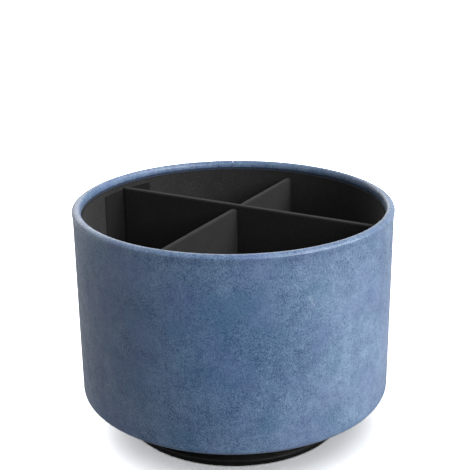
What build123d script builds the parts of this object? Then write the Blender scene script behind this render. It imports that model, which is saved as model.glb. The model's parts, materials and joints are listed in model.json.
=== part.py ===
from build123d import *
import os
from math import asin, degrees

# Rotating pen holder: a leather-covered drum with four compartments that turns on a
# ball bearing over a round black foot. Millimetres, +Z up. The origin is where the
# axis of rotation meets the surface that the rubber feet stand on.

os.makedirs("parts", exist_ok=True)

# Foot
base_radius = 63.6
base_edge_height = 3.7
base_rise = 3.8
base_platform_radius = 48.0
base_skin = 2.4
base_lower_rounding = 1.0
base_upper_rounding = 1.0
base_shoulder_rounding = 4.0
base_rib_count = 8
base_rib_thickness = 1.8

# Rubber feet
foot_radius = 5.0
foot_seat_depth = 1.0
foot_stand = 0.5
foot_count = 4
foot_inset = 10.6
foot_boss_wall = 1.8
foot_clearance = 0.05
foot_rounding = 0.4

# Ball bearing
ball_radius = 2.0
ball_count = 18
ball_circle_radius = 32.0
race_width = 10.0
race_floor = 1.0
race_gap = 2.0
race_clearance = 0.15
race_seat_depth = 0.8
race_seat_clearance = 0.05
cage_thickness = 1.4
cage_width = 7.0
pocket_clearance = 0.15

# Pivot bolt, its bush and its nut
bolt_shoulder_radius = 3.0
bolt_thread_radius = 2.5
bolt_head_radius = 6.0
bolt_head_height = 3.5
bolt_head_rounding = 0.6
bolt_socket_flats = 4.0
bolt_socket_depth = 2.0
bolt_tail = 0.4
bolt_end_gap = 0.1
bush_wall = 1.5
bush_length = 4.0
bush_flange_width = 2.0
bush_flange_thickness = 1.0
running_clearance = 0.05
lift_clearance = 0.15
hub_clearance = 0.4
nut_boss_wall = 2.5
pivot_boss_wall = 5.0
pivot_boss_floor = 2.8
washer_radius = 5.0
washer_thickness = 1.0
nut_flats = 8.0
nut_height = 4.0
thread_clearance = 0.05
hole_clearance = 0.1
nut_pocket_radius = 7.0
nut_cap_thickness = 0.8
nut_cap_clearance = 0.05

# Swivel housing under the drum
housing_radius = 46.0
housing_height = 12.5
housing_gap = 0.8
housing_wall = 2.5
housing_plate = 3.0
housing_rounding = 0.6
hub_wall = 2.5
head_room = 2.5
carrier_wall = 2.0
carrier_lip = 1.2
housing_rib_thickness = 1.8
housing_rib_height = 3.5

# Screws that hold the housing to the drum's floor
screw_count = 4
screw_head_radius = 3.2
screw_head_height = 1.8
screw_shank_radius = 1.6
screw_bite = 4.0
screw_tip_chamfer = 0.9
screw_slot_length = 3.6
screw_slot_width = 0.7
screw_slot_depth = 0.9

# Drum
drum_radius = 87.5
drum_height = 107.6
leather_thickness = 1.0
shell_thickness = 2.6
rim_rounding_width = 2.6
rim_rounding_height = 3.0
rim_crown = 0.2
drum_lower_rounding = 2.6
turn_in_depth = 14.0
turn_under_width = 13.5
leather_seam_gap = 0.3
floor_board_thickness = 5.0
board_clearance = 0.1

# Linings
lining_thickness = 0.8
lining_drop = 4.9
lining_clearance = 0.05
underside_clearance = 0.2

# Dividers, placed in a frame turned about the axis
divider_turn = -28.7
main_divider_offset = 13.0
cross_divider_offset = 5.5
divider_board_thickness = 2.6
divider_cover_thickness = 0.6
divider_edge_rounding = 0.4
main_divider_drop = 6.4
cross_divider_drop = 8.7
half_lap_clearance = 0.1
glue_flap_width = 18.0
glue_flap_thickness = 0.3
glue_flap_skive = 1.5

# Heights of the foot, from the floor up
base_bottom = foot_stand
base_edge_top = base_bottom + base_edge_height
platform = base_edge_top + base_rise
cavity_top = platform - base_skin

# Heights of the bearing
lower_race_bottom = platform - race_seat_depth
groove_radius = ball_radius + race_clearance
ball_height = lower_race_bottom + race_floor + groove_radius
lower_race_top = ball_height - race_gap / 2
upper_race_bottom = ball_height + race_gap / 2
upper_race_top = ball_height + groove_radius + race_floor
race_inner_radius = ball_circle_radius - race_width / 2
race_outer_radius = ball_circle_radius + race_width / 2
seat_inner_radius = race_inner_radius - race_seat_clearance
seat_outer_radius = race_outer_radius + race_seat_clearance
cage_bottom = ball_height - cage_thickness / 2

# Heights of the housing and the drum
housing_bottom = platform + housing_gap
drum_bottom = housing_bottom + housing_height
housing_plate_bottom = drum_bottom - housing_plate
carrier_bottom = upper_race_top - carrier_lip
screw_head_bottom = housing_plate_bottom - screw_head_height
floor_board_bottom = drum_bottom + leather_thickness
floor_board_top = floor_board_bottom + floor_board_thickness
compartment_floor = floor_board_top + lining_thickness
rim_top = drum_bottom + drum_height
turn_in_end = rim_top - turn_in_depth
lining_top = rim_top - lining_drop
main_divider_top = rim_top - main_divider_drop
cross_divider_top = rim_top - cross_divider_drop

# Radii of the drum's wall, from the outside in
shell_outer_radius = drum_radius - leather_thickness
shell_inner_radius = shell_outer_radius - shell_thickness
wall_inner_radius = shell_inner_radius - leather_thickness
rim_inner_rounding = drum_radius - wall_inner_radius - rim_rounding_width - rim_crown
lining_inner_radius = wall_inner_radius - lining_thickness
turn_under_radius = drum_radius - turn_under_width

# Pivot heights, from the bottom up
bush_bore_radius = bolt_shoulder_radius + running_clearance
bush_outer_radius = bush_bore_radius + bush_wall
bush_flange_radius = bush_outer_radius + bush_flange_width
hub_radius = bolt_head_radius + head_room + hub_wall
head_pocket_radius = bolt_head_radius + head_room
nut_boss_radius = nut_pocket_radius + nut_boss_wall
pivot_boss_radius = bolt_shoulder_radius + pivot_boss_wall
bolt_end = base_bottom + nut_cap_thickness + bolt_end_gap
nut_bottom = bolt_end + bolt_tail
washer_bottom = nut_bottom + nut_height
nut_pocket_top = washer_bottom + washer_thickness
pivot_boss_top = nut_pocket_top + pivot_boss_floor
hub_bottom = pivot_boss_top + hub_clearance
hub_floor = hub_bottom + bush_length
bush_top = hub_floor + bush_flange_thickness
bolt_head_bottom = bush_top + lift_clearance
bolt_head_top = bolt_head_bottom + bolt_head_height

# Circles that fasteners and feet lie on
foot_circle_radius = base_radius - foot_inset
carrier_inner_radius = seat_inner_radius - carrier_wall
carrier_outer_radius = seat_outer_radius + carrier_wall
screw_circle_radius = (hub_radius + carrier_inner_radius) / 2
half_screw_step = 180 / screw_count
screw_tip = floor_board_bottom + screw_bite

# Dividers, as they stand when covered
covered_thickness = divider_board_thickness + 2 * divider_cover_thickness
cover_rounding = divider_edge_rounding + divider_cover_thickness
main_board_top = main_divider_top - divider_cover_thickness
cross_board_top = cross_divider_top - divider_cover_thickness
divider_reach = lining_inner_radius - lining_clearance
half_lap_height = (compartment_floor + cross_divider_top) / 2
main_frame = Plane.XY.rotated((0, 0, divider_turn))
cross_frame = Plane.XY.rotated((0, 0, divider_turn + 90))

# Angles at which the main divider's two faces meet the wall
flap_sweep = degrees(glue_flap_width / divider_reach)
skive_sweep = degrees(glue_flap_skive / divider_reach)
back_face = main_divider_offset + covered_thickness / 2 - divider_cover_thickness / 2
front_face = main_divider_offset - covered_thickness / 2 + divider_cover_thickness / 2
back_angle = degrees(asin(back_face / divider_reach))
front_angle = degrees(asin(front_face / divider_reach))


def ring_section(inner, outer, low, high, mode=Mode.ADD):
    """A rectangle of the open sketch, in radius and height."""
    with Locations(((inner + outer) / 2, (low + high) / 2)):
        Rectangle(outer - inner, high - low, mode=mode)


def disc(radius, low, high, mode=Mode.ADD):
    """A round plate of the open part, about the axis."""
    with BuildSketch(Plane.XY.offset(low)) as outline:
        Circle(radius)
    extrude(outline.sketch, amount=high - low, mode=mode)


def round_pattern(radius, circle, count, start, low, high, mode=Mode.ADD):
    """Round pillars or holes of the open part, spaced about the axis."""
    with BuildSketch(Plane.XY.offset(low)) as outline:
        with PolarLocations(circle, count, start_angle=start):
            Circle(radius)
    extrude(outline.sketch, amount=high - low, mode=mode)


def rib_star(inner, outer, thickness, count, low, high, mode=Mode.ADD):
    """Radial ribs of the open part, the first one along +X."""
    with BuildSketch(Plane.XY.offset(low)) as outline:
        with PolarLocations((inner + outer) / 2, count):
            Rectangle(outer - inner, thickness)
    extrude(outline.sketch, amount=high - low, mode=mode)


def wall_section(depth, mode=Mode.ADD):
    """The drum wall's section in the open sketch, a depth below its finished surface."""
    outer = drum_radius - depth
    inner = wall_inner_radius + depth
    low = drum_bottom + depth
    high = rim_top - depth
    lower_centre = (drum_radius - drum_lower_rounding, drum_bottom + drum_lower_rounding)
    rim_centre = (drum_radius - rim_rounding_width, rim_top - rim_rounding_height)
    rim_width = rim_rounding_width - depth
    rim_height = rim_rounding_height - depth
    inner_centre = (wall_inner_radius + rim_inner_rounding, rim_top - rim_inner_rounding)
    with BuildLine() as outline:
        Line((inner, low), (lower_centre[0], low))
        CenterArc(lower_centre, drum_lower_rounding - depth, -90, 90)
        Line((outer, lower_centre[1]), (outer, rim_centre[1]))
        EllipticalCenterArc(rim_centre, rim_width, rim_height, arc_size=90)
        Line((rim_centre[0], high), (inner_centre[0], high))
        CenterArc(inner_centre, rim_inner_rounding - depth, 90, 90)
        Line((inner, inner_centre[1]), (inner, low))
    make_face(outline.edges(), mode=mode)


def panel(frame, offset, thickness, top, rounding):
    """A flat panel of the open part, from wall to wall, with its long top edges rounded."""
    with BuildSketch(frame.offset(compartment_floor)) as outline:
        with Locations((0, offset)):
            Rectangle(2 * drum_radius, thickness)
        Circle(divider_reach, mode=Mode.INTERSECT)
    body = extrude(outline.sketch, amount=top - compartment_floor)
    fillet(body.edges().group_by(Axis.Z)[-1].sort_by(SortBy.LENGTH)[-2:], radius=rounding)


def half_lap(across, along, low, high):
    """Cuts the slot where the other divider passes through the open part."""
    slot = covered_thickness + 2 * half_lap_clearance
    with BuildSketch(main_frame.offset(low)) as outline:
        with Locations((-cross_divider_offset, main_divider_offset)):
            Rectangle(slot if across else along, along if across else slot)
    extrude(outline.sketch, amount=high - low, mode=Mode.SUBTRACT)


def glue_flap(start, sweep, skive):
    """A strip of a divider's cover in the open sketch, turned onto the wall and pared thin at its end."""
    inner = divider_reach - glue_flap_thickness
    with BuildLine() as outline:
        far_arc = CenterArc((0, 0), divider_reach, start, sweep)
        near_arc = CenterArc((0, 0), inner, start, sweep - skive)
        Line(far_arc @ 0, near_arc @ 0)
        Line(far_arc @ 1, near_arc @ 1)
    make_face(outline.edges())


# The foot is a moulded shell with ribs, a centre boss and four foot bosses below
with BuildPart() as base_cavity:
    with BuildSketch(Plane.XZ):
        with BuildLine():
            Polyline(
                (nut_boss_radius, base_bottom),
                (base_radius - base_skin, base_bottom),
                (base_radius - base_skin, base_edge_top - base_skin),
                (base_platform_radius, cavity_top),
                (nut_boss_radius, cavity_top),
                close=True,
            )
        make_face()
    revolve(axis=Axis.Z)
    rib_star(0, base_radius, base_rib_thickness, base_rib_count, base_bottom, platform, Mode.SUBTRACT)
    round_pattern(
        foot_radius + foot_clearance + foot_boss_wall,
        foot_circle_radius,
        foot_count,
        180 / foot_count,
        base_bottom,
        platform,
        Mode.SUBTRACT,
    )

with BuildPart() as base_plate:
    with BuildSketch(Plane.XZ):
        with BuildLine():
            FilletPolyline(
                (0, base_bottom),
                (base_radius, base_bottom),
                (base_radius, base_edge_top),
                (base_platform_radius, platform),
                (0, platform),
                radius=[base_lower_rounding, base_upper_rounding, base_shoulder_rounding],
            )
            Line((0, platform), (0, base_bottom))
        make_face()
    revolve(axis=Axis.Z)
    add(base_cavity.part, mode=Mode.SUBTRACT)
    disc(pivot_boss_radius, cavity_top, pivot_boss_top)
    with BuildSketch(Plane.XZ):
        ring_section(seat_inner_radius, seat_outer_radius, lower_race_bottom, platform)
    revolve(axis=Axis.Z, mode=Mode.SUBTRACT)
    disc(nut_pocket_radius, base_bottom, nut_pocket_top, Mode.SUBTRACT)
    disc(bolt_thread_radius + hole_clearance, nut_pocket_top, pivot_boss_top, Mode.SUBTRACT)
    round_pattern(
        foot_radius + foot_clearance,
        foot_circle_radius,
        foot_count,
        180 / foot_count,
        base_bottom,
        base_bottom + foot_seat_depth,
        Mode.SUBTRACT,
    )
base_plate.part.label = "base_plate"
export_step(base_plate.part, "parts/base_plate.step")

with BuildPart() as rubber_feet:
    round_pattern(
        foot_radius,
        foot_circle_radius,
        foot_count,
        180 / foot_count,
        0,
        foot_stand + foot_seat_depth,
    )
    fillet(rubber_feet.edges().group_by(Axis.Z)[0], radius=foot_rounding)
rubber_feet.part.label = "rubber_feet"
export_step(rubber_feet.part, "parts/rubber_feet.step")

# Bearing: two grooved steel rings, a ring of balls and the cage that spaces them
with BuildPart() as lower_race:
    with BuildSketch(Plane.XZ):
        ring_section(race_inner_radius, race_outer_radius, lower_race_bottom, lower_race_top)
        with Locations((ball_circle_radius, ball_height)):
            Circle(groove_radius, mode=Mode.SUBTRACT)
    revolve(axis=Axis.Z)
lower_race.part.label = "lower_race"
export_step(lower_race.part, "parts/lower_race.step")

with BuildPart() as upper_race:
    with BuildSketch(Plane.XZ):
        ring_section(race_inner_radius, race_outer_radius, upper_race_bottom, upper_race_top)
        with Locations((ball_circle_radius, ball_height)):
            Circle(groove_radius, mode=Mode.SUBTRACT)
    revolve(axis=Axis.Z)
upper_race.part.label = "upper_race"
export_step(upper_race.part, "parts/upper_race.step")

with BuildPart() as ball_cage:
    with BuildSketch(Plane.XY.offset(cage_bottom)):
        Circle(ball_circle_radius + cage_width / 2)
        Circle(ball_circle_radius - cage_width / 2, mode=Mode.SUBTRACT)
        with PolarLocations(ball_circle_radius, ball_count):
            Circle(ball_radius + pocket_clearance, mode=Mode.SUBTRACT)
    extrude(amount=cage_thickness)
ball_cage.part.label = "ball_cage"
export_step(ball_cage.part, "parts/ball_cage.step")

with BuildPart(Plane.XY.offset(ball_height)) as bearing_balls:
    with PolarLocations(ball_circle_radius, ball_count):
        Sphere(ball_radius)
bearing_balls.part.label = "bearing_balls"
export_step(bearing_balls.part, "parts/bearing_balls.step")

# Pivot: a shoulder bolt clamped to the foot by its nut, turning in a flanged bush
with BuildPart() as pivot_bolt:
    disc(bolt_thread_radius, bolt_end, pivot_boss_top)
    disc(bolt_shoulder_radius, pivot_boss_top, bolt_head_bottom)
    disc(bolt_head_radius, bolt_head_bottom, bolt_head_top)
    fillet(pivot_bolt.edges().group_by(Axis.Z)[-1], radius=bolt_head_rounding)
    with BuildSketch(Plane.XY.offset(bolt_head_top)):
        RegularPolygon(bolt_socket_flats / 2, 6, major_radius=False)
    extrude(amount=-bolt_socket_depth, mode=Mode.SUBTRACT)
pivot_bolt.part.label = "pivot_bolt"
export_step(pivot_bolt.part, "parts/pivot_bolt.step")

with BuildPart() as pivot_bush:
    disc(bush_outer_radius, hub_bottom, hub_floor)
    disc(bush_flange_radius, hub_floor, bush_top)
    disc(bush_bore_radius, hub_bottom, bush_top, Mode.SUBTRACT)
pivot_bush.part.label = "pivot_bush"
export_step(pivot_bush.part, "parts/pivot_bush.step")

with BuildPart() as bolt_washer:
    disc(washer_radius, washer_bottom, nut_pocket_top)
    disc(bolt_thread_radius + hole_clearance, washer_bottom, nut_pocket_top, Mode.SUBTRACT)
bolt_washer.part.label = "bolt_washer"
export_step(bolt_washer.part, "parts/bolt_washer.step")

with BuildPart() as lock_nut:
    with BuildSketch(Plane.XY.offset(nut_bottom)):
        RegularPolygon(nut_flats / 2, 6, major_radius=False)
        Circle(bolt_thread_radius + thread_clearance, mode=Mode.SUBTRACT)
    extrude(amount=nut_height)
lock_nut.part.label = "lock_nut"
export_step(lock_nut.part, "parts/lock_nut.step")

with BuildPart() as nut_cap:
    disc(nut_pocket_radius - nut_cap_clearance, base_bottom, base_bottom + nut_cap_thickness)
nut_cap.part.label = "nut_cap"
export_step(nut_cap.part, "parts/nut_cap.step")

# Swivel housing: a moulded cup that hides the bearing and carries the upper race
with BuildPart() as swivel_housing:
    with BuildSketch(Plane.XZ):
        ring_section(housing_radius - housing_wall, housing_radius, housing_bottom, drum_bottom)
        ring_section(head_pocket_radius, housing_radius, housing_plate_bottom, drum_bottom)
        ring_section(carrier_inner_radius, carrier_outer_radius, carrier_bottom, drum_bottom)
        ring_section(head_pocket_radius, hub_radius, hub_bottom, drum_bottom)
        ring_section(bush_outer_radius, hub_radius, hub_bottom, hub_floor)
        ring_section(seat_inner_radius, seat_outer_radius, carrier_bottom, upper_race_top, Mode.SUBTRACT)
    revolve(axis=Axis.Z)
    fillet(swivel_housing.edges().group_by(Axis.Z)[0].sort_by(SortBy.RADIUS)[-1], radius=housing_rounding)
    rib_star(
        hub_radius - hub_wall / 2,
        housing_radius - housing_wall / 2,
        housing_rib_thickness,
        screw_count,
        housing_plate_bottom - housing_rib_height,
        housing_plate_bottom,
    )
    round_pattern(
        screw_shank_radius + hole_clearance,
        screw_circle_radius,
        screw_count,
        half_screw_step,
        housing_plate_bottom,
        drum_bottom,
        Mode.SUBTRACT,
    )
swivel_housing.part.label = "swivel_housing"
export_step(swivel_housing.part, "parts/swivel_housing.step")

with BuildPart() as housing_screws:
    round_pattern(
        screw_shank_radius,
        screw_circle_radius,
        screw_count,
        half_screw_step,
        housing_plate_bottom,
        screw_tip,
    )
    chamfer(housing_screws.edges().group_by(Axis.Z)[-1], length=screw_tip_chamfer)
    round_pattern(
        screw_head_radius,
        screw_circle_radius,
        screw_count,
        half_screw_step,
        screw_head_bottom,
        housing_plate_bottom,
    )
    with BuildSketch(Plane.XY.offset(screw_head_bottom)):
        with PolarLocations(screw_circle_radius, screw_count, start_angle=half_screw_step):
            Rectangle(screw_slot_length, screw_slot_width)
            Rectangle(screw_slot_width, screw_slot_length)
    extrude(amount=screw_slot_depth, mode=Mode.SUBTRACT)
housing_screws.part.label = "housing_screws"
export_step(housing_screws.part, "parts/housing_screws.step")

# Drum: a floor board inside a board tube, wrapped in leather
with BuildPart() as underside_cover:
    disc(turn_under_radius - underside_clearance, drum_bottom, floor_board_bottom)
    round_pattern(
        screw_shank_radius + hole_clearance,
        screw_circle_radius,
        screw_count,
        half_screw_step,
        drum_bottom,
        floor_board_bottom,
        Mode.SUBTRACT,
    )
underside_cover.part.label = "underside_cover"
export_step(underside_cover.part, "parts/underside_cover.step")

with BuildPart() as floor_board:
    disc(shell_inner_radius - board_clearance, floor_board_bottom, floor_board_top)
    round_pattern(
        screw_shank_radius + thread_clearance,
        screw_circle_radius,
        screw_count,
        half_screw_step,
        floor_board_bottom,
        screw_tip,
        Mode.SUBTRACT,
    )
floor_board.part.label = "floor_board"
export_step(floor_board.part, "parts/floor_board.step")

with BuildPart() as drum_shell:
    with BuildSketch(Plane.XZ):
        wall_section(leather_thickness)
    revolve(axis=Axis.Z)
drum_shell.part.label = "drum_shell"
export_step(drum_shell.part, "parts/drum_shell.step")

# The leather runs from under the drum, up its side, over the rim and down inside,
# and its two ends meet in an upright butt seam at the back
with BuildPart() as leather_wrap:
    with BuildSketch(Plane.XZ):
        wall_section(0)
        ring_section(turn_under_radius, drum_radius - drum_lower_rounding, drum_bottom, floor_board_bottom)
        wall_section(leather_thickness, Mode.SUBTRACT)
        ring_section(wall_inner_radius, shell_inner_radius, floor_board_bottom, turn_in_end, Mode.SUBTRACT)
    revolve(axis=Axis.Z)
    with BuildSketch(Plane.XY.offset(drum_bottom)):
        with Locations((0, (turn_under_radius + drum_radius) / 2)):
            Rectangle(leather_seam_gap, 2 * turn_under_width)
    extrude(amount=drum_height, mode=Mode.SUBTRACT)
leather_wrap.part.label = "leather_wrap"
export_step(leather_wrap.part, "parts/leather_wrap.step")

# Inside: a card ring levels the wall below the turned-in leather, then the lining
with BuildPart() as infill_card:
    with BuildSketch(Plane.XZ):
        ring_section(wall_inner_radius, shell_inner_radius, floor_board_top, turn_in_end)
    revolve(axis=Axis.Z)
infill_card.part.label = "infill_card"
export_step(infill_card.part, "parts/infill_card.step")

with BuildPart() as wall_lining:
    with BuildSketch(Plane.XZ):
        ring_section(lining_inner_radius, wall_inner_radius, floor_board_top, lining_top)
    revolve(axis=Axis.Z)
wall_lining.part.label = "wall_lining"
export_step(wall_lining.part, "parts/wall_lining.step")

with BuildPart() as floor_lining:
    disc(lining_inner_radius - lining_clearance, floor_board_top, compartment_floor)
floor_lining.part.label = "floor_lining"
export_step(floor_lining.part, "parts/floor_lining.step")

# Dividers: two covered boards, half-lapped where they cross
with BuildPart() as main_divider_core:
    panel(main_frame, main_divider_offset, divider_board_thickness, main_board_top, divider_edge_rounding)

with BuildPart() as main_divider_board:
    add(main_divider_core.part)
    half_lap(True, covered_thickness, compartment_floor, half_lap_height + half_lap_clearance)
main_divider_board.part.label = "main_divider_board"
export_step(main_divider_board.part, "parts/main_divider_board.step")

with BuildPart() as main_divider_cover:
    panel(main_frame, main_divider_offset, covered_thickness, main_divider_top, cover_rounding)
    with BuildSketch(main_frame.offset(compartment_floor)):
        glue_flap(back_angle, flap_sweep, skive_sweep)
        glue_flap(180 - back_angle, -flap_sweep, -skive_sweep)
        glue_flap(front_angle, -flap_sweep, -skive_sweep)
        glue_flap(180 - front_angle, flap_sweep, skive_sweep)
    extrude(amount=main_divider_top - cover_rounding - compartment_floor)
    add(main_divider_core.part, mode=Mode.SUBTRACT)
    half_lap(True, covered_thickness, compartment_floor, half_lap_height + half_lap_clearance)
main_divider_cover.part.label = "main_divider_cover"
export_step(main_divider_cover.part, "parts/main_divider_cover.step")

with BuildPart() as cross_divider_core:
    panel(cross_frame, cross_divider_offset, divider_board_thickness, cross_board_top, divider_edge_rounding)

with BuildPart() as cross_divider_board:
    add(cross_divider_core.part)
    half_lap(False, covered_thickness, half_lap_height, cross_divider_top)
cross_divider_board.part.label = "cross_divider_board"
export_step(cross_divider_board.part, "parts/cross_divider_board.step")

with BuildPart() as cross_divider_cover:
    panel(cross_frame, cross_divider_offset, covered_thickness, cross_divider_top, cover_rounding)
    add(cross_divider_core.part, mode=Mode.SUBTRACT)
    half_lap(False, covered_thickness, half_lap_height, cross_divider_top)
cross_divider_cover.part.label = "cross_divider_cover"
export_step(cross_divider_cover.part, "parts/cross_divider_cover.step")
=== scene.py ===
import bpy
import bmesh
import json
from math import cos, pi, radians, sin
from mathutils import Matrix, Vector

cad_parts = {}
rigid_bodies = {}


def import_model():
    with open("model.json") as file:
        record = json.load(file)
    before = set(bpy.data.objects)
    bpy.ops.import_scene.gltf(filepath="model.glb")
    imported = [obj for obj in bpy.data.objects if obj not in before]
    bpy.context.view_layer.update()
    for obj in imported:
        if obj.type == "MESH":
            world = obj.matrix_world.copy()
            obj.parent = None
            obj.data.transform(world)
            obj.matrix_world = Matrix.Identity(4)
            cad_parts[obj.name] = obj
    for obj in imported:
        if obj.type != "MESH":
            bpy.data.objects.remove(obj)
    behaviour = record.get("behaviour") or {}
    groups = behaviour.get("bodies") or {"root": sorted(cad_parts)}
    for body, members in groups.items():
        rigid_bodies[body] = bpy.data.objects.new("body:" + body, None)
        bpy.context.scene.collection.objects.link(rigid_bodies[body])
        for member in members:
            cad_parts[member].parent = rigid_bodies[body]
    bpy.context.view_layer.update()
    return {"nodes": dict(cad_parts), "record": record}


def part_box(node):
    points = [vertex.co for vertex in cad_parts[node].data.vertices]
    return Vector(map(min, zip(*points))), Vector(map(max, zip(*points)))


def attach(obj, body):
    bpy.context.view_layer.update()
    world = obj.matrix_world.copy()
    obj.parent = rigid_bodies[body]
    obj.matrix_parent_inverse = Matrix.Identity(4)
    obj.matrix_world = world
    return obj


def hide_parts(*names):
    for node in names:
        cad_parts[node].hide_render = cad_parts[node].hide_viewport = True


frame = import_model()

MM = 0.001
TAU = 2 * pi

# The photograph's camera, fitted to the rim, the side outline, the bottom edge and the foot
CAMERA_DISTANCE = 566.7 * MM
CAMERA_PITCH = radians(19.165)
CAMERA_ROLL = radians(-0.6)
CAMERA_AIM_HEIGHT = 108.96 * MM
CAMERA_SIDE = 0.82 * MM
CAMERA_LENS = 78.07
CAMERA_NEAREST = 10 * MM
SENSOR_WIDTH = 36.0

# Light of the room on the object, from its horizon to straight above
SKY_LOW = 0.12
SKY_HIGH = 0.25
SKY_POWER = 2.0

# How bright the floor is to the camera, in reflections and as it throws light back on the object
FLOOR_REACH = 6.0
FLOOR_SEEN = 10.0
FLOOR_GLOW = 0.1
FLOOR_MIRRORED = 3.4
FLOOR_BOUNCE = 1.2

LAMP_AIM = Vector((0, 0, 60 * MM))

# Leather skin: its section
SKIN_THICKNESS = 0.92 * MM
WALL = 4.6 * MM
TURN_UNDER = 13.5 * MM
LOWER_ROUND = 2.6 * MM
DRUM_FLARE = 0.25 * MM
NECK = 12.0 * MM
RIM_WIDTH = 2.6 * MM
RIM_HEIGHT = 1.7 * MM
RIM_BEAD = 0.38 * MM
BEAD_FADE = 4.0 * MM
RIM_INNER = 1.9 * MM
RIM_DEPTH = 2.8 * MM
RIM_TUCK = 0.35 * MM
RIM_TUCK_DEPTH = 2.0 * MM
TURN_IN = 14.0 * MM

# Leather skin: its way round the drum
SKIN_SEGMENTS = 384
SKIN_INSET = 0.05 * MM
SEAM_ANGLE = pi / 2
SEAM_GAP = 0.12 * MM
SHARP_EDGE = radians(50)
# Size, waves to a turn, change with each metre of height and start of each wave of the wall
WALL_WAVES = ((0.05 * MM, 3, 0, 0.6), (0.04 * MM, 7, 35, 0), (0.03 * MM, 13, -60, 0))
# Size and number of the puckers, and how far and how often they wander from an even spacing
PUCKERS = ((0.035 * MM, 61, 1.7, 5), (0.021 * MM, 97, 2.1, 3))

# What noise and the distance to a cell's middle come to on average
NOISE_MIDDLE = 0.5
CELL_MIDDLE = 0.42

# Leather tone: each noise's size, detail, roughness, shift and share, then the grain and its pebbles
LEATHER_CLOUDS = (
    (46 * MM, 3, 0.5, 0.43, 0.58),
    (15 * MM, 3, 0.55, 0, 0.54),
    (5 * MM, 2, 0.5, 0, 0.5),
    (1.9 * MM, 2, 0.5, 0, 0.5),
)
GRAIN_SIZE = 0.72 * MM
GRAIN_SHARE = 1.42
PEBBLE_SIZE = 0.95 * MM
PEBBLE_SHARE = -0.3
LEATHER_DEEP = (20, 56, 102)
LEATHER_PALE = (133, 158, 187)

# Tinted patches: each noise's size and shift, the values between which the patch comes up, its strength
# and its colour
LEATHER_TINTS = (
    (24 * MM, 0.31, (0.44, 0.64), 0.357, (105, 121, 166)),
    (19 * MM, 0.77, (0.50, 0.70), 0.416, (68, 109, 141)),
)

# Leather surface: its roughness in patches, the height of its grain and of its broader unevenness
ROUGH_PATCH = 6 * MM
LEATHER_ROUGHNESS = (0.52, 0.64)
GRAIN_HEIGHT = 0.10 * MM
PEBBLE_DEPTH = 0.4
DIMPLE_SIZE = 3.2 * MM
DIMPLE_HEIGHT = 0.15 * MM

# Broad clouds on the leather, each a point and its reach: painted light as a pale cloud low on the lit
# right, painted sheen as a greyer cloud on the left and painted shade as a bluer, darker cloud between
PAINTED_LIGHT_CLOUD = ((63 * MM, -60 * MM, 56 * MM), 64 * MM)
PAINTED_LIGHT_CLOUD_SHARE = 0.27
PAINTED_SHEEN_CLOUD = ((-74 * MM, -46 * MM, 72 * MM), 80 * MM)
PAINTED_SHEEN_CLOUD_SHARE = 0.24
PAINTED_SHEEN_CLOUD_COLOUR = (104, 106, 118)
PAINTED_SHADE_CLOUD = ((-14 * MM, -86 * MM, 80 * MM), 74 * MM)
PAINTED_SHADE_CLOUD_FILTER = (0.76, 0.92, 1.0, 1.0)

# Scuffs are the edges of long cells, shown where a coarse and a fine noise come up
SCUFF_LENGTH = 15 * MM
SCUFF_STRETCH = (1, 1, 2.4)
SCUFF_TURN = (0.5, 0.4, 0.3)
SCUFF_WIDTH = 0.012
SCUFF_AREA = 13 * MM
SCUFF_AREA_SHIFT = 0.53
SCUFF_AREA_RISE = (0.55, 0.64)
SCUFF_SPECK = 1.1 * MM
SCUFF_SPECK_RISE = (0.42, 0.62)
SCUFF_SHARE = 0.45
SCUFF_COLOUR = (176, 192, 216)

# Where the leather turns in below the crest, painted shade darkens it in a band, and the crest is smoother
# from handling
TURNED_IN_RADII = (84.6 * MM, 85.0 * MM)
TURNED_IN_HEIGHTS = (125.1 * MM, 125.7 * MM)
TURNED_IN_SHADE_SHARE = 0.8
TURNED_IN_SHADE_COLOUR = (22, 28, 44)
HANDLED_HEIGHTS = (125.8 * MM, 127.6 * MM)
HANDLED_POLISH = -0.27

# Cloth: its fibres, its nap in patches, painted shadow on the dividers' flaps near the wall, and painted
# shade along the top edge of the wall's lining
FIBRE_SIZE = 0.5 * MM
FIBRE_STRETCH = (1, 1, 0.45)
NAP_PATCH = 9 * MM
NAP_LEAST = 0.45
SHADOWED_FLAP_RADII = (80.0 * MM, 80.4 * MM)
SHADOWED_FLAP_SHARE = 0.6
LINING_CUT_HEIGHTS = (123.6 * MM, 123.9 * MM)
LINING_CUT_SHADE_SHARE = 0.8
CLOTH_PAINTED_SHADE = (8, 8, 8)

# The foot: its slope, greyed by painted light, begins between these heights, above an edge darkened by
# painted shade
FOOT_SLOPE_HEIGHTS = (3.6 * MM, 4.4 * MM)
FOOT_SLOPE_PAINTED_LIGHT = ((44, 44, 45), (54, 54, 55))
FOOT_EDGE_PAINTED_SHADE = ((14, 14, 14), (20, 20, 21))

# Skin of moulded plastic
EROSION_SIZE = 0.35 * MM
EROSION_HEIGHT = 0.02 * MM

# How many levels darker a stain on metal is
STAIN = 34

RUBBER_CLEAN = (34, 34, 35)
RUBBER_DUSTY = (62, 61, 60)

WHITE = (1, 1, 1, 1)


def linear(red, green, blue):
    """An sRGB colour from 0 to 255 as Blender's linear RGBA."""
    def one(c):
        c /= 255
        return c / 12.92 if c <= 0.04045 else ((c + 0.055) / 1.055) ** 2.4
    return (one(red), one(green), one(blue), 1.0)


def lighter(shade, amount):
    """An sRGB colour from 0 to 255, paler by an amount, or darker where it is negative."""
    return tuple(max(c + amount, 0) for c in shade)


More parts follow.
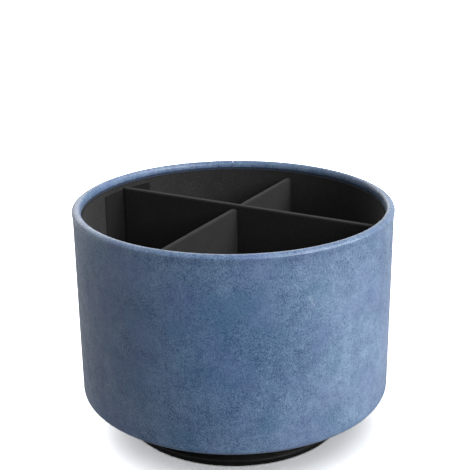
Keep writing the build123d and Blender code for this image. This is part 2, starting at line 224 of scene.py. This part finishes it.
class Nodes:
    """A node tree, emptied, with short calls for new nodes. A value is a number, a colour or a socket."""

    def __init__(self, tree):
        self.tree = tree
        tree.nodes.clear()

    def put(self, socket, value):
        """Joins another node's output to a socket, or sets the socket's own value."""
        if isinstance(value, bpy.types.NodeSocket):
            self.tree.links.new(value, socket)
        else:
            socket.default_value = value

    def add(self, kind, inputs=None, **settings):
        """A new node with its settings, and values for inputs named or numbered."""
        node = self.tree.nodes.new(kind)
        for name, value in settings.items():
            setattr(node, name, value)
        for socket, value in (inputs or {}).items():
            self.put(node.inputs[socket], value)
        return node

    def maths(self, operation, *values):
        """One operation on one or two values."""
        return self.add("ShaderNodeMath", dict(enumerate(values)), operation=operation).outputs[0]

    def product(self, first, *others):
        """All values multiplied."""
        for value in others:
            first = self.maths("MULTIPLY", first, value)
        return first

    def span(self, value, low, high, to_low=0.0, to_high=1.0):
        """A value's range from low to high, spread over another range."""
        ends = {"From Min": low, "From Max": high, "To Min": to_low, "To Max": to_high}
        return self.add("ShaderNodeMapRange", {"Value": value, **ends}).outputs[0]

    def blend(self, factor, first, second, mode="MIX"):
        """Mixes two colours, by a factor from 0 to 1."""
        colours = {0: factor, 6: first, 7: second}
        return self.add("ShaderNodeMix", colours, data_type="RGBA", blend_type=mode).outputs[2]


class Shade(Nodes):
    """A node material around one Principled shader, with short calls for its textures."""

    def __init__(self, name, roughness, **sockets):
        self.material = bpy.data.materials.new(name)
        self.material.use_nodes = True
        super().__init__(self.material.node_tree)
        constants = {socket.replace("_", " "): value for socket, value in sockets.items()}
        self.shader = self.add("ShaderNodeBsdfPrincipled", {"Roughness": roughness, **constants})
        self.add("ShaderNodeOutputMaterial", {"Surface": self.shader.outputs[0]})
        self.place = self.add("ShaderNodeTexCoord").outputs["Object"]

    def stretched(self, scale, turn=(0, 0, 0)):
        """The object's coordinates, turned and stretched."""
        moves = {"Vector": self.place, "Scale": scale, "Rotation": turn}
        return self.add("ShaderNodeMapping", moves).outputs[0]

    def shifted(self, amount):
        """The object's coordinates moved by a fixed amount, for noise that follows no other."""
        moves = {"Vector": self.place, "Location": (amount, 2 * amount, 3 * amount)}
        return self.add("ShaderNodeMapping", moves).outputs[0]

    def height(self):
        """The height above the table, in metres."""
        return self.add("ShaderNodeSeparateXYZ", {0: self.place}).outputs["Z"]

    def radius(self):
        """The distance from the upright axis, in metres."""
        split = self.add("ShaderNodeSeparateXYZ", {0: self.place}).outputs
        squares = [self.product(split[axis], split[axis]) for axis in "XY"]
        return self.maths("SQRT", self.maths("ADD", *squares))

    def near(self, point, reach):
        """1 round a point of the object as far as a fifth of reach metres, falling to 0 at reach."""
        ends = {0: self.place, 1: point}
        distance = self.add("ShaderNodeVectorMath", ends, operation="DISTANCE").outputs["Value"]
        return self.span(distance, 0.2 * reach, reach, 1, 0)

    def noise(self, size, detail=2.0, rough=0.5, shift=0, place=None):
        """Noise from 0 to 1 whose features are size metres across."""
        place = self.shifted(shift) if shift else place or self.place
        looks = {"Vector": place, "Scale": 1 / size, "Detail": detail, "Roughness": rough}
        return self.add("ShaderNodeTexNoise", looks).outputs["Fac"]

    def cells(self, size, feature="F1", place=None):
        """Distance to the middle or the edge of cells that are size metres across."""
        looks = {"Vector": place or self.place, "Scale": 1 / size}
        return self.add("ShaderNodeTexVoronoi", looks, feature=feature).outputs["Distance"]

    def sum_of(self, *parts):
        """Adds (value - middle) * share over all parts."""
        total = 0.0
        for value, middle, share in parts:
            total = self.maths("ADD", self.product(self.maths("SUBTRACT", value, middle), share), total)
        return total

    def colour(self, value):
        self.put(self.shader.inputs["Base Color"], value)

    def rough(self, value):
        self.put(self.shader.inputs["Roughness"], value)

    def bump(self, height, depth, strength=1.0, under=None):
        """Raises the surface by depth metres where height is 1, on top of another bump if it is given."""
        looks = {"Height": height, "Distance": depth, "Strength": strength}
        if under is not None:
            looks["Normal"] = under
        raised = self.add("ShaderNodeBump", looks).outputs[0]
        self.put(self.shader.inputs["Normal"], raised)
        return raised


def leather_material():
    """Matt denim-blue imitation leather: cloudy patches, a fine pebbled grain, a few pale scuffs, and
    painted light, sheen and shade.
    """
    s = Shade("blue_leather", 0.6, Specular_IOR_Level=0.5, Sheen_Weight=0.3, Sheen_Roughness=0.3)
    grain = s.noise(GRAIN_SIZE, 2, 0.55)
    pebbles = s.cells(PEBBLE_SIZE)
    clouds = [(s.noise(size, detail, rough, shift), NOISE_MIDDLE, share)
              for size, detail, rough, shift, share in LEATHER_CLOUDS]
    tone = s.sum_of(
        *clouds,
        (grain, NOISE_MIDDLE, GRAIN_SHARE),
        (pebbles, CELL_MIDDLE, PEBBLE_SHARE),
        # Painted light: a pale cloud low on the lit right
        (s.near(*PAINTED_LIGHT_CLOUD), 0, PAINTED_LIGHT_CLOUD_SHARE),
    )
    base = s.blend(s.span(tone, -0.5, 0.5), linear(*LEATHER_DEEP), linear(*LEATHER_PALE))
    for size, shift, rise, share, shade in LEATHER_TINTS:
        patch = s.span(s.noise(size, 2, 0.5, shift), *rise, 0, share)
        base = s.blend(patch, base, linear(*shade))
    # Painted sheen as a greyer cloud on the left, and painted shade as a bluer, darker cloud between
    grey = s.product(s.near(*PAINTED_SHEEN_CLOUD), PAINTED_SHEEN_CLOUD_SHARE)
    base = s.blend(grey, base, linear(*PAINTED_SHEEN_CLOUD_COLOUR))
    base = s.blend(s.near(*PAINTED_SHADE_CLOUD), base, PAINTED_SHADE_CLOUD_FILTER, "MULTIPLY")
    edges = s.cells(SCUFF_LENGTH, "DISTANCE_TO_EDGE", s.stretched(SCUFF_STRETCH, SCUFF_TURN))
    scuffs = s.product(
        s.span(edges, 0, SCUFF_WIDTH, SCUFF_SHARE, 0),
        s.span(s.noise(SCUFF_AREA, 2, 0.5, SCUFF_AREA_SHIFT), *SCUFF_AREA_RISE),
        s.span(s.noise(SCUFF_SPECK, 2), *SCUFF_SPECK_RISE),
    )
    base = s.blend(scuffs, base, linear(*SCUFF_COLOUR))
    # Painted shade: the inside of the rim darkened from just below the crest down behind the lining
    turned_in_shade = s.product(
        s.span(s.radius(), *TURNED_IN_RADII, TURNED_IN_SHADE_SHARE, 0),
        s.span(s.height(), *TURNED_IN_HEIGHTS, 1, 0),
    )
    s.colour(s.blend(turned_in_shade, base, linear(*TURNED_IN_SHADE_COLOUR)))
    mottle = s.span(s.noise(ROUGH_PATCH, 3), 0.35, 0.65, *LEATHER_ROUGHNESS)
    s.rough(s.maths("ADD", mottle, s.span(s.height(), *HANDLED_HEIGHTS, 0, HANDLED_POLISH)))
    fine = s.bump(s.maths("SUBTRACT", grain, s.product(pebbles, PEBBLE_DEPTH)), GRAIN_HEIGHT)
    s.bump(s.noise(DIMPLE_SIZE, 3, 0.6), DIMPLE_HEIGHT, under=fine)
    return s.material


def cloth_material(name, shade, lift, shadowed_flap=None, cut=None):
    """Matt black brushed cloth with a short nap; lift is how far the nap pales it. Beyond the shadowed-flap
    radii painted shadow darkens it, and above the cut heights painted shade darkens its top edge."""
    s = Shade(name, 0.92, Specular_IOR_Level=0.1, Sheen_Weight=0.08, Sheen_Roughness=0.5)
    fibres = s.noise(FIBRE_SIZE, 3, 0.7, place=s.stretched(FIBRE_STRETCH))
    patches = s.span(s.noise(NAP_PATCH, 3, 0.6), 0.3, 0.7, NAP_LEAST, 1.0)
    nap = s.product(s.span(fibres, 0.38, 0.66), patches)
    grey = (shade, shade, shade)
    tone = s.blend(nap, linear(*grey), linear(*lighter(grey, lift)))
    # Painted shadow on the flaps near the wall
    if shadowed_flap:
        tone = s.blend(s.span(s.radius(), *shadowed_flap, 0, SHADOWED_FLAP_SHARE), tone, linear(*CLOTH_PAINTED_SHADE))
    # Painted shade along the top edge of the lining
    if cut:
        tone = s.blend(s.span(s.height(), *cut, 0, LINING_CUT_SHADE_SHARE), tone, linear(*CLOTH_PAINTED_SHADE))
    s.colour(tone)
    s.bump(fibres, 0.12 * MM, 0.8)
    return s.material


def foot_material():
    """Black moulded foot with a finely eroded skin: painted light greys its slope, above an edge darkened
    by painted shade.
    """
    s = Shade("foot_plastic", 0.5, Specular_IOR_Level=0.16)
    patches = s.span(s.noise(9 * MM, 3, 0.6), 0.35, 0.7)
    # Painted light on the slope, and painted shade on the edge below it
    eroded, smooth = (s.blend(patches, linear(*dark), linear(*pale))
                      for dark, pale in (FOOT_SLOPE_PAINTED_LIGHT, FOOT_EDGE_PAINTED_SHADE))
    s.colour(s.blend(s.span(s.height(), *FOOT_SLOPE_HEIGHTS), smooth, eroded))
    s.rough(s.span(s.noise(4 * MM, 3), 0.3, 0.7, 0.42, 0.56))
    s.bump(s.noise(EROSION_SIZE, 2, 0.6), EROSION_HEIGHT, 0.7)
    return s.material


def plastic_material(name, shade, roughness, fleck):
    """Moulded plastic with a spark-eroded skin and a little dust-pale unevenness."""
    s = Shade(name, roughness, Specular_IOR_Level=0.5)
    dust = s.span(s.noise(14 * MM, 3, 0.6), 0.35, 0.7)
    s.colour(s.blend(dust, linear(*shade), linear(*lighter(shade, fleck))))
    s.rough(s.span(s.noise(4 * MM, 3), 0.3, 0.7, roughness - 0.06, roughness + 0.08))
    s.bump(s.noise(EROSION_SIZE, 2, 0.6), EROSION_HEIGHT, 0.7)
    return s.material


def metal_material(name, shade, roughness, ring_size):
    """Turned or rolled metal with fine tool rings about the axis and a few stains."""
    s = Shade(name, roughness, Metallic=1.0)
    looks = {"Vector": s.place, "Scale": 1 / ring_size, "Distortion": 0.4, "Detail": 2}
    rings = s.add("ShaderNodeTexWave", looks, wave_type="RINGS", rings_direction="Z")
    stain = s.span(s.noise(3 * MM, 3, 0.6), 0.4, 0.7, 0, 0.6)
    s.colour(s.blend(stain, linear(*shade), linear(*lighter(shade, -STAIN))))
    s.rough(s.span(s.noise(1.5 * MM, 2), 0.3, 0.7, roughness - 0.05, roughness + 0.1))
    s.bump(rings.outputs["Fac"], 0.01 * MM, 0.5)
    return s.material


def board_material(name, shade, fibre, spread):
    """Pressed board or card: short fibres and flecks in an uneven pulp."""
    s = Shade(name, 0.9, Specular_IOR_Level=0.2)
    flecks = s.noise(fibre, 4, 0.7, place=s.stretched((1, 1, 3)))
    s.colour(s.blend(s.span(flecks, 0.4, 0.68), linear(*shade), linear(*lighter(shade, -spread))))
    s.bump(flecks, 0.06 * MM, 0.8)
    return s.material


def rubber_material():
    """Soft black rubber, dull and slightly dusty."""
    s = Shade("foot_rubber", 0.85, Specular_IOR_Level=0.3)
    dust = s.span(s.noise(1.2 * MM, 4, 0.7), 0.5, 0.75)
    s.colour(s.blend(dust, linear(*RUBBER_CLEAN), linear(*RUBBER_DUSTY)))
    s.bump(s.noise(0.4 * MM, 2), 0.03 * MM, 0.8)
    return s.material


def finishes():
    """One material for each slot of the record."""
    return {
        "blue_leather": leather_material(),
        "black_lining": cloth_material("black_lining", 40, lift=19, cut=LINING_CUT_HEIGHTS),
        "divider_cloth": cloth_material("divider_cloth", 31, lift=14, shadowed_flap=SHADOWED_FLAP_RADII),
        "underside_felt": cloth_material("underside_felt", 26, lift=20),
        "divider_board": board_material("divider_board", (150, 142, 130), 0.7 * MM, spread=40),
        "shell_board": board_material("shell_board", (158, 146, 128), 0.8 * MM, spread=44),
        "infill_card": board_material("infill_card", (172, 164, 150), 0.5 * MM, spread=30),
        "floor_fibreboard": board_material("floor_fibreboard", (170, 136, 98), 0.9 * MM, spread=50),
        "foot_plastic": foot_material(),
        "foot_rubber": rubber_material(),
        "housing_plastic": plastic_material("housing_plastic", (20, 20, 21), 0.42, fleck=9),
        "cage_plastic": plastic_material("cage_plastic", (214, 210, 196), 0.45, fleck=12),
        "race_steel": metal_material("race_steel", (190, 191, 194), 0.34, ring_size=0.8 * MM),
        "ball_steel": metal_material("ball_steel", (214, 215, 218), 0.14, ring_size=1.5 * MM),
        "bolt_steel": metal_material("bolt_steel", (196, 197, 199), 0.3, ring_size=0.5 * MM),
        "screw_steel": metal_material("screw_steel", (96, 96, 98), 0.4, ring_size=0.4 * MM),
        "bush_brass": metal_material("bush_brass", (205, 168, 96), 0.28, ring_size=0.4 * MM),
    }


def dress_nodes(materials):
    """Gives every node of the frame its slot's finish."""
    for row in frame["record"]["subparts"]:
        node = frame["nodes"][row["node"]]
        node.data.materials.clear()
        node.data.materials.append(materials[row["material_slot"]])


def new_object(name, data):
    """A new object of the scene."""
    made = bpy.data.objects.new(name, data)
    bpy.context.scene.collection.objects.link(made)
    return made


def skin_profile(radius, inner, bottom, top):
    """The skin's section from under the drum, up its side and over the rim to its end behind the lining, as
    points (radius, height)."""
    profile = []

    def run(start, end, steps):
        for k in range(steps):
            f = k / steps
            profile.append((start[0] + (end[0] - start[0]) * f, start[1] + (end[1] - start[1]) * f))

    def bend(centre, wide, tall, start, end, steps):
        for k in range(steps):
            a = radians(start + (end - start) * k / steps)
            profile.append((centre[0] + wide * cos(a), centre[1] + tall * sin(a)))

    run((radius - TURN_UNDER, bottom), (radius - LOWER_ROUND, bottom), steps=5)
    bend((radius - LOWER_ROUND, bottom + LOWER_ROUND), LOWER_ROUND, LOWER_ROUND, -90, 0, steps=8)
    run((radius, bottom + LOWER_ROUND), (radius, top - NECK), steps=42)
    run((radius, top - NECK), (radius, top - RIM_HEIGHT), steps=16)
    bend((radius - RIM_WIDTH, top - RIM_HEIGHT), RIM_WIDTH, RIM_HEIGHT, 0, 90, steps=16)
    bend((inner + RIM_INNER, top - RIM_DEPTH), RIM_INNER, RIM_DEPTH, 90, 180, steps=14)
    run((inner, top - RIM_DEPTH), (inner, top - NECK), steps=12)
    run((inner, top - NECK), (inner, top - TURN_IN), steps=6)
    profile.append((inner, top - TURN_IN))
    return profile


def skin_lift(angle, r, z, inner, bottom, top):
    """How far the leather lies off its true circle: an uneven board that opens a little towards the top, a
    proud roll along the rim, and puckers where it turns in and tucks behind the lining."""
    lift = DRUM_FLARE * (z - bottom) / (top - bottom) - SKIN_INSET
    lift += sum(size * sin(waves * angle + rise * z + start) for size, waves, rise, start in WALL_WAVES)
    if r < inner + RIM_INNER:
        depth = min(max((top - z) / TURN_IN, 0), 1)
        lift += depth * sum(size * sin(number * angle + wander * sin(often * angle))
                            for size, number, wander, often in PUCKERS)
        tuck = min(max((top - RIM_DEPTH - z) / RIM_TUCK_DEPTH, 0), 1)
        lift += RIM_TUCK * tuck * tuck
    else:
        above = z - top + RIM_HEIGHT
        reach = RIM_HEIGHT if above > 0 else BEAD_FADE
        lift += RIM_BEAD * cos(min(abs(above) / reach, 1) * pi / 2) ** 2
    return lift


def leather_skin(material):
    """The leather as one sheet: under the drum, up its side, over the rim and down inside, open at its
    seam."""
    low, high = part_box("leather_wrap")
    radius = (high.x - low.x) / 2
    bottom, top = low.z, high.z
    inner = radius - WALL
    profile = skin_profile(radius, inner, bottom, top)
    seam_half = SEAM_GAP / 2 / radius
    grid = bmesh.new()
    columns = []
    for i in range(SKIN_SEGMENTS + 1):
        angle = SEAM_ANGLE + seam_half + (TAU - 2 * seam_half) * i / SKIN_SEGMENTS
        column = []
        for r, z in profile:
            out = r + skin_lift(angle, r, z, inner, bottom, top)
            column.append(grid.verts.new((out * cos(angle), out * sin(angle), z)))
        columns.append(column)
    for left, right in zip(columns, columns[1:]):
        for k in range(len(profile) - 1):
            grid.faces.new((left[k], right[k], right[k + 1], left[k + 1]))
    bmesh.ops.recalc_face_normals(grid, faces=grid.faces)
    mesh = bpy.data.meshes.new("leather_skin")
    grid.to_mesh(mesh)
    grid.free()
    mesh.materials.append(material)
    skin = new_object("leather_skin", mesh)
    thicken(skin, SKIN_THICKNESS)
    shade_smooth(skin)
    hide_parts("leather_wrap")
    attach(skin, "drum")


def thicken(piece, thickness):
    """Gives an open sheet its thickness, inwards from its face, as plain mesh."""
    modifier = piece.modifiers.new("thickness", "SOLIDIFY")
    modifier.thickness = thickness
    modifier.offset = -1
    modifier.use_even_offset = True
    depsgraph = bpy.context.evaluated_depsgraph_get()
    made = bpy.data.meshes.new_from_object(piece.evaluated_get(depsgraph))
    sheet = piece.data
    piece.modifiers.clear()
    piece.data = made
    bpy.data.meshes.remove(sheet)


def shade_smooth(piece):
    """Smooth faces, with the cut edges of the sheet left sharp."""
    for face in piece.data.polygons:
        face.use_smooth = True
    piece.data.set_sharp_from_angle(angle=SHARP_EDGE)


def seen_rays(nodes):
    """1 for the rays that show the background: straight, mirrored or through glass."""
    path = nodes.add("ShaderNodeLightPath").outputs
    seen = path["Is Camera Ray"]
    for name in ("Is Glossy Ray", "Is Transmission Ray"):
        seen = nodes.maths("MAXIMUM", seen, path[name])
    return seen


def world_light():
    """A white room whose light on the object comes from above."""
    world = bpy.data.worlds.new("studio")
    bpy.context.scene.world = world
    world.use_nodes = True
    n = Nodes(world.node_tree)
    direction = n.add("ShaderNodeTexCoord").outputs["Generated"]
    rise = n.add("ShaderNodeSeparateXYZ", {0: direction}).outputs["Z"]
    steep = n.maths("POWER", n.maths("MAXIMUM", rise, 0.0), SKY_POWER)
    level = n.span(steep, 0, 1, SKY_LOW, SKY_HIGH)
    light = n.add("ShaderNodeBackground", {"Color": WHITE, "Strength": level})
    seen = n.add("ShaderNodeBackground", {"Color": WHITE})
    mix = n.add("ShaderNodeMixShader", {0: seen_rays(n), 1: light.outputs[0], 2: seen.outputs[0]})
    n.add("ShaderNodeOutputWorld", {"Surface": mix.outputs[0]})


def lamp(name, azimuth, elevation, distance, size, power):
    """A soft box lamp, placed round the drum from the camera's side towards +X."""
    light = bpy.data.lights.new(name, "AREA")
    light.shape = "RECTANGLE"
    light.size, light.size_y = size
    light.energy = power
    holder = new_object(name, light)
    holder.visible_camera = False
    a, e = radians(azimuth), radians(elevation)
    holder.location = LAMP_AIM + Vector((sin(a) * cos(e), -cos(a) * cos(e), sin(e))) * distance
    holder.rotation_euler = (LAMP_AIM - holder.location).to_track_quat("-Z", "Y").to_euler()
    return holder


def light_only_the_object(lamps, ground):
    """Keeps these lamps off the floor, whose soft shadow is left to the room and to the lamp behind."""
    lit = bpy.data.collections.new("lit_by_key")
    for piece in bpy.context.scene.objects:
        if piece.type == "MESH" and piece is not ground:
            lit.objects.link(piece)
    for light in lamps:
        light.light_linking.receiver_collection = lit


def floor():
    """A plain white floor that keeps the object's shadow, and is clear when seen from below."""
    mesh = bpy.data.meshes.new("floor")
    corners = [(x * FLOOR_REACH, y * FLOOR_REACH, 0) for x, y in ((-1, -1), (1, -1), (1, 1), (-1, 1))]
    mesh.from_pydata(corners, [], [(0, 1, 2, 3)])
    piece = new_object("floor", mesh)
    material = bpy.data.materials.new("floor_white")
    material.use_nodes = True
    n = Nodes(material.node_tree)
    straight = n.add("ShaderNodeLightPath").outputs["Is Camera Ray"]
    unseen = n.span(seen_rays(n), 0, 1, FLOOR_BOUNCE, FLOOR_MIRRORED)
    paper = n.add("ShaderNodeBsdfDiffuse", {"Color": n.span(straight, 0, 1, unseen, FLOOR_SEEN)})
    glow = n.add("ShaderNodeEmission", {"Strength": n.product(straight, FLOOR_GLOW)})
    both = n.add("ShaderNodeAddShader", {0: paper.outputs[0], 1: glow.outputs[0]})
    clear = n.add("ShaderNodeBsdfTransparent")
    below = n.add("ShaderNodeNewGeometry").outputs["Backfacing"]
    sided = n.add("ShaderNodeMixShader", {0: below, 1: both.outputs[0], 2: clear.outputs[0]})
    n.add("ShaderNodeOutputMaterial", {"Surface": sided.outputs[0]})
    mesh.materials.append(material)
    return piece


def camera():
    """Looks along +Y and down at the holder, as the photograph does."""
    lens = bpy.data.cameras.new("photo_camera")
    lens.lens = CAMERA_LENS
    lens.sensor_width = SENSOR_WIDTH
    lens.clip_start = CAMERA_NEAREST
    holder = new_object("photo_camera", lens)
    away = Vector((0, -cos(CAMERA_PITCH), sin(CAMERA_PITCH))) * CAMERA_DISTANCE
    holder.location = Vector((CAMERA_SIDE, 0, CAMERA_AIM_HEIGHT)) + away
    turned = Matrix.Rotation(pi / 2 - CAMERA_PITCH, 3, "X") @ Matrix.Rotation(CAMERA_ROLL, 3, "Z")
    holder.rotation_euler = turned.to_euler()
    bpy.context.scene.camera = holder


materials = finishes()
dress_nodes(materials)
leather_skin(materials["blue_leather"])
world_light()
ground = floor()
key = lamp("key", azimuth=52, elevation=30, distance=1.3, size=(0.9, 0.6), power=16.0)
side = lamp("side", azimuth=96, elevation=50, distance=1.1, size=(0.35, 0.8), power=6.6)
lamp("back", azimuth=192, elevation=24, distance=1.3, size=(1.0, 0.4), power=2.6)
fill = lamp("fill", azimuth=-42, elevation=38, distance=1.3, size=(0.9, 0.6), power=1.0)
light_only_the_object((key, side, fill), ground)
camera()

bpy.context.scene.view_settings.view_transform = "Standard"
